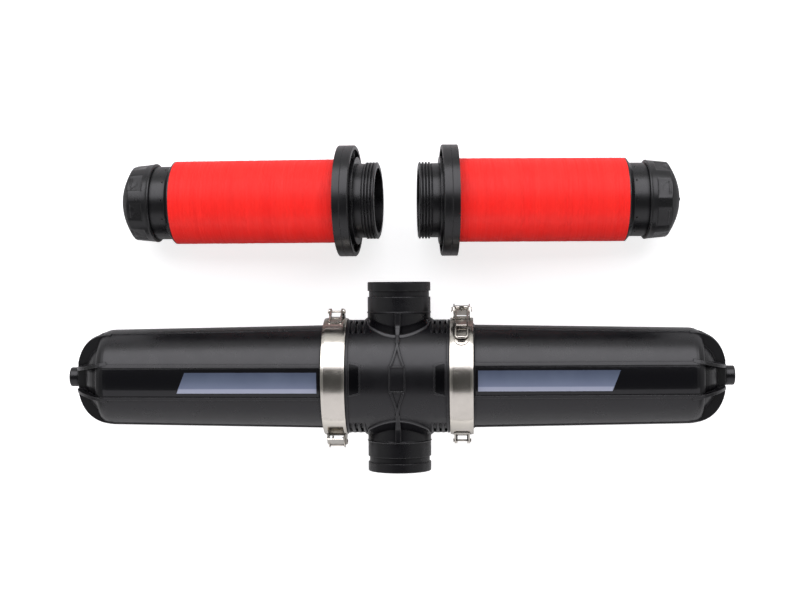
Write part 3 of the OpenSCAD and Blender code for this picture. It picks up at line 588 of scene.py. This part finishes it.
def corner_fins(toward, name):
    """Three rounded fins at each corner, bent round the side of the barrel and joined by a rim."""
    fins = ((46.6, 1.9), (54.51, 2.3), (62.24, 2.3))
    fin_height = 1.3
    half_turn = math.radians(38.0)
    rim_xs = (44.6, 50.0, 56.0, 62.0, 67.4)
    rim_y = FILTER_Y + toward * (BARREL_R - 1.6)
    rim_size = (2.6, 2.8)
    steps = 36
    bars = []
    for hand in (-1.0, 1.0):
        for x, half in fins:
            path = []
            sizes = []
            for i in range(steps + 1):
                a = half_turn * (2.0 * i / steps - 1.0)
                y = FILTER_Y + toward * BARREL_R * math.cos(a)
                path.append((hand * x, y, AXIS_Z + BARREL_R * math.sin(a)))
                end = min(1.0, 0.3 + 0.26 * min(i, steps - i))
                sizes.append((half * end, fin_height * end))
            bars.append((path, sizes))
        rim = [(hand * x, rim_y, AXIS_Z) for x in rim_xs]
        bars.append((rim, [rim_size] * len(rim)))
    bar_piece(name, bars)


def bail_bow():
    """Arc of the bail's wire in the clamp's own plane: centre, radius, first angle and span."""
    hook_angle = math.radians(50.0)
    pivot_angle = math.radians(2.5)
    over_centre = math.radians(6.0)
    hook_gap = 1.5
    pivot_lift = 10.75
    slack = 0.9
    crank = 7.0
    hook = cmath.rect(STRAP_R + WIRE_R + hook_gap, hook_angle)
    pivot = cmath.rect(CLAMP_R + pivot_lift, pivot_angle)
    reach = cmath.phase(hook - pivot)
    bar = hook - cmath.rect(slack, reach)
    trunnion = pivot + cmath.rect(crank, reach + math.pi - over_centre)
    chord = abs(bar - trunnion)
    lean = cmath.phase(bar - trunnion)
    rise = 6.5
    radius = (chord ** 2 / 4 + rise ** 2) / (2 * rise)
    span = 2 * math.asin(chord / 2 / radius)
    middle = (bar + trunnion) / 2 + cmath.rect(radius - rise, lean + math.pi / 2)
    return middle, radius, lean - math.pi / 2 - span / 2, span


def wire_bail(side, name):
    """Bent wire loop with a rounded end, a bridge between its legs and its trunnion."""
    middle, radius, start, span = bail_bow()
    corner = 5.6
    leg_start = 1.5
    leg_steps = 24
    bend_steps = 12
    bridge_at = 0.7
    length = radius * span

    def place(x, run):
        flat = middle + cmath.rect(radius, start + run / radius)
        return (side * JOINT_X + x, FILTER_Y + side * flat.real, AXIS_Z + side * flat.imag)

    leg = length - corner - leg_start
    path = [place(BAIL_HALF, leg_start + leg * i / leg_steps) for i in range(leg_steps)]
    for i in range(bend_steps + 1):
        a = math.pi / 2 * i / bend_steps
        run = length - corner * (1 - math.sin(a))
        path.append(place(BAIL_HALF - corner * (1 - math.cos(a)), run))
    path += [(2 * side * JOINT_X - x, y, z) for x, y, z in reversed(path)]
    verts = []
    faces = []
    tube(verts, faces, path, [WIRE_R] * len(path))
    bridge = [place(x, bridge_at * length) for x in (-BAIL_HALF, 0.0, BAIL_HALF)]
    tube(verts, faces, bridge, [WIRE_R - 0.3] * 3, 12)
    end = LEVER_IN - 0.3
    steps = [(1.5 + end, 1.7), (1.2 + end, 2.0), (end, 2.0), (end, 2.7), (end - 0.3, 3.0)]
    rows = [(-x, r) for x, r in steps] + [(x, r) for x, r in reversed(steps)]
    tube(verts, faces, [place(x, 0.0) for x, _ in rows], [r for _, r in rows], 32)
    made = mesh_object(name, verts, faces)
    mark_sharp(made)
    dress(made, STEEL)
    word = "left" if side < 0 else "right"
    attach(made, word + "_bail")
    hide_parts(word + "_latch_bail")


def cap_profile():
    """Outside of a cap nut as (run along its axis, radius)."""
    rim = [(0.0, -0.7), (0.35, -0.1), (0.9, 0.2), (2.1, 0.2), (2.7, -0.05)]
    rows = [(run, CAP_R + out) for run, out in rim]
    slope = (CAP_R - CAP_SHOULDER_R) / CAP_SKIRT
    runs = [
        3.6, 6.0, 8.4, 9.6, 10.4, 10.8, 11.2, 12.0,
        15.0, 18.0, 21.0, 24.0, 26.5, 28.4, 29.6, 30.4,
    ]
    rows += [(run, CAP_R - slope * run) for run in runs]
    dome = [
        (1.0, 0.0), (0.885, 0.225), (0.745, 0.466), (0.62, 0.648),
        (0.498, 0.79), (0.375, 0.9), (0.25, 0.972),
    ]
    dome = [(CAP_SKIRT + CAP_DOME * h, CAP_SHOULDER_R * r) for r, h in dome]
    rows += [(CAP_SKIRT + 0.1, CAP_SHOULDER_R - 0.35), (CAP_SKIRT + 0.75, CAP_SHOULDER_R - 1.1)]
    swell = 0.25
    for a, b in zip(dome, dome[1:]):
        for t in (0.33, 0.66, 1.0):
            radius = a[1] + (b[1] - a[1]) * t + swell * math.sin(math.pi * t)
            rows.append((a[0] + (b[0] - a[0]) * t, radius))
    boss_foot_r = 10.5
    rows += [(CAP_SKIRT + CAP_DOME, boss_foot_r)]
    return rows


def cap_nut(side, name):
    """Domed cap with eight shallow grip flats round its shoulder and a crossed boss."""
    segs = 240
    pad_half = math.radians(14.0)
    pad_depth = 0.35
    pad_wall = 0.15
    pad_dip = 0.2
    first = math.radians(30.0)
    pitch = math.pi / 4
    boss_half = 9.0
    boss_thick = 2.0
    chamfer = 0.4
    verts = []
    faces = []
    rows = cap_profile()

    for run, radius in rows:
        pad = ease(10.3, 11.0, run) * (1.0 - ease(CAP_SKIRT - 1.0, CAP_SKIRT + 1.5, run))
        for k in range(segs):
            a = 2 * math.pi * k / segs
            off = (a - first + pitch / 2) % pitch - pitch / 2
            sunk = radius - radius * math.cos(pad_half) / math.cos(off) + pad_depth
            past_bore = max(0.0, run - CAP_BORE_LEN)
            sunk = min(sunk, radius - CAP_BORE - pad_wall + pad_dip * past_bore)
            inner = 1.0 - ease(pad_half - 0.02, pad_half + 0.012, abs(off))
            reach = radius - sunk * pad * inner
            verts.append((CAP_X0 + run, reach * math.cos(a), reach * math.sin(a)))
    inside = [(CAP_BORE_LEN, 0.5), (CAP_BORE_LEN, CAP_BORE), (0.0, CAP_BORE)]
    for run, radius in inside:
        for k in range(segs):
            a = 2 * math.pi * k / segs
            verts.append((CAP_X0 + run, radius * math.cos(a), radius * math.sin(a)))
    count = len(rows)
    order = list(range(count, count + len(inside))) + list(range(count))
    for a, b in zip(order, order[1:]):
        for k in range(segs):
            n = (k + 1) % segs
            faces.append((a * segs + n, a * segs + k, b * segs + k, b * segs + n))
    faces.append(tuple((count - 1) * segs + k for k in range(segs)))
    faces.append(tuple(count * segs + k for k in reversed(range(segs))))
    top = CAP_X0 + CAP_SKIRT + CAP_DOME
    for across in (0, 1):
        low = len(verts)
        levels = ((top - 0.6, 0.0), (top + CAP_BOSS - chamfer, 0.0), (top + CAP_BOSS, chamfer))
        for x, inset in levels:
            for u, v in ((-1, -1), (1, -1), (1, 1), (-1, 1)):
                y, z = u * (boss_half - inset), v * (boss_thick - inset)
                verts.append((x, z, -y) if across else (x, y, z))
        for a in (low, low + 4):
            b = a + 4
            for k in range(4):
                n = (k + 1) % 4
                faces.append((a + k, a + n, b + n, b + k))
        faces.append((low + 8, low + 9, low + 10, low + 11))
        faces.append((low + 3, low + 2, low + 1, low))
    made = mesh_object(name, verts, faces)
    mark_sharp(made, 40.0)
    made.matrix_world = cartridge_matrix(side)
    dress(made, CART_PLASTIC)
    made.data.materials.append(MATT)
    shoulder = (CAP_X0 + CAP_SKIRT + 0.5) * MM
    for face in made.data.polygons:
        face.material_index = 1 if face.center.x > shoulder else 0
    word = "left" if side < 0 else "right"
    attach(made, word + "_nut")
    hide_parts(word + "_cap_nut")


for side, word in ((-1, "left"), (1, "right")):
    disc_stack(side, word + "_discs").visible_glossy = False
    wire_bail(side, word + "_bail_wire")
    cap_nut(side, word + "_cap")
for toward, word in ((-1.0, "inlet"), (1.0, "outlet")):
    saddle(toward, word + "_saddle")
    split_rib(toward, word + "_rib")
    corner_fins(toward, word + "_fins")


# Stage


def backdrop():
    """Pale floor that the camera sees as white and that mirrors a little darker."""
    seen_glow = 0.74
    mirrored_glow = 0.1
    pale = (0.7, 0.7, 0.7)
    mirrored_pale = (0.54, 0.54, 0.54)
    half = 40000.0
    corners = [(-half, -half, 0), (half, -half, 0), (half, half, 0), (-half, half, 0)]
    g = Graph("pale_floor")
    path = g.add("ShaderNodeLightPath")
    seen = g.math("MAXIMUM", path.outputs["Is Camera Ray"], path.outputs["Is Transmission Ray"])
    mirrored = g.math("MULTIPLY", path.outputs["Is Glossy Ray"], mirrored_glow)
    diffuse = g.add("ShaderNodeBsdfDiffuse")
    tone = g.mix(path.outputs["Is Glossy Ray"], pale, mirrored_pale)
    g.link(tone, diffuse.inputs["Color"])
    glow = g.add("ShaderNodeEmission")
    glow.inputs["Color"].default_value = (1.0, 1.0, 1.0, 1.0)
    strength = g.math("MAXIMUM", g.math("MULTIPLY", seen, seen_glow), mirrored)
    g.link(strength, glow.inputs["Strength"])
    both = g.add("ShaderNodeAddShader")
    g.link(diffuse.outputs["BSDF"], both.inputs[0])
    g.link(glow.outputs["Emission"], both.inputs[1])
    g.link(both.outputs["Shader"], g.out.inputs["Surface"])
    made = mesh_object("floor", corners, [(0, 1, 2, 3)])
    dress(made, g.mat)


def sky():
    """Pale all round, brighter beyond the cartridges and dark overhead; white to the camera."""
    stops = [(0.0, 0.45), (0.5, 0.42), (0.84, 0.24), (0.92, 0.09), (1.0, 0.055)]
    lean = 0.5
    world = bpy.data.worlds.new("studio")
    bpy.context.scene.world = world
    world.use_nodes = True
    tree = world.node_tree
    tree.nodes.clear()
    add = tree.nodes.new
    link = tree.links.new
    out = add("ShaderNodeOutputWorld")
    glow = add("ShaderNodeBackground")
    place = add("ShaderNodeTexCoord")
    split = add("ShaderNodeSeparateXYZ")
    link(place.outputs["Generated"], split.inputs["Vector"])
    ramp = add("ShaderNodeValToRGB")
    link(split.outputs["Z"], ramp.inputs["Fac"])
    items = ramp.color_ramp.elements
    while len(items) < len(stops):
        items.new(0.5)
    for item, (spot, level) in zip(items, stops):
        item.position = spot
        item.color = (level, level, level, 1.0)
    share = add("ShaderNodeMath")
    share.operation = "MULTIPLY_ADD"
    link(split.outputs["Y"], share.inputs[0])
    share.inputs[1].default_value = lean
    share.inputs[2].default_value = 1.0
    leant = add("ShaderNodeMath")
    leant.operation = "MULTIPLY"
    link(ramp.outputs["Color"], leant.inputs[0])
    link(share.outputs["Value"], leant.inputs[1])
    path = add("ShaderNodeLightPath")
    seen = add("ShaderNodeMath")
    seen.operation = "MAXIMUM"
    link(leant.outputs["Value"], seen.inputs[0])
    link(path.outputs["Is Camera Ray"], seen.inputs[1])
    glow.inputs["Color"].default_value = (1.0, 1.0, 1.0, 1.0)
    link(seen.outputs["Value"], glow.inputs["Strength"])
    link(glow.outputs["Background"], out.inputs["Surface"])


def softbox(name, elevation, toward, width, height, radiance, colour, mirrored=True):
    """Soft lamp aimed at the middle; one that isn't mirrored only fills."""
    distance = 1.8
    lamp = bpy.data.lights.new(name, "AREA")
    lamp.shape = "RECTANGLE"
    lamp.size = width
    lamp.size_y = height
    lamp.energy = radiance * math.pi * width * height
    lamp.color = colour
    made = bpy.data.objects.new(name, lamp)
    bpy.context.scene.collection.objects.link(made)
    lift = math.radians(elevation)
    place = Vector((0, toward * distance * math.cos(lift), distance * math.sin(lift)))
    made.location = place
    made.rotation_euler = (-place).to_track_quat("-Z", "Y").to_euler()
    made.visible_camera = False
    made.visible_glossy = mirrored


backdrop()
sky()
softbox("upper_softbox", elevation=47.5, toward=1.0, width=3.2, height=1.7,
        radiance=2.5, colour=(0.955, 0.94, 1.0))
softbox("lower_softbox", elevation=31.0, toward=-1.0, width=3.2, height=2.0,
        radiance=0.64, colour=(0.96, 0.935, 1.0))
softbox("low_fill", elevation=18.0, toward=-1.0, width=3.2, height=1.1,
        radiance=3.1, colour=(1.0, 0.98, 0.98), mirrored=False)


def camera():
    """Looks almost straight down, as the photograph does; places in millimetres."""
    target = Vector((1.4, FILTER_Y + 107.4, AXIS_Z))
    place = target + Vector((105.0, 42.0, 2208.0))
    roll = math.radians(-0.33)
    lens = bpy.data.cameras.new("camera")
    lens.sensor_fit = "HORIZONTAL"
    lens.sensor_width = 36.0
    lens.lens = 70.38
    lens.dof.use_dof = False
    lens.clip_end = 50.0
    made = bpy.data.objects.new("camera", lens)
    bpy.context.scene.collection.objects.link(made)
    made.location = place * MM
    back = (place - target).normalized()
    right = Vector((0, 1, 0)).cross(back).normalized()
    aim = Matrix((right, back.cross(right), back)).transposed()
    made.rotation_euler = (aim @ Matrix.Rotation(roll, 3, "Z")).to_euler()
    bpy.context.scene.camera = made


camera()
bpy.context.scene.view_settings.view_transform = "Standard"
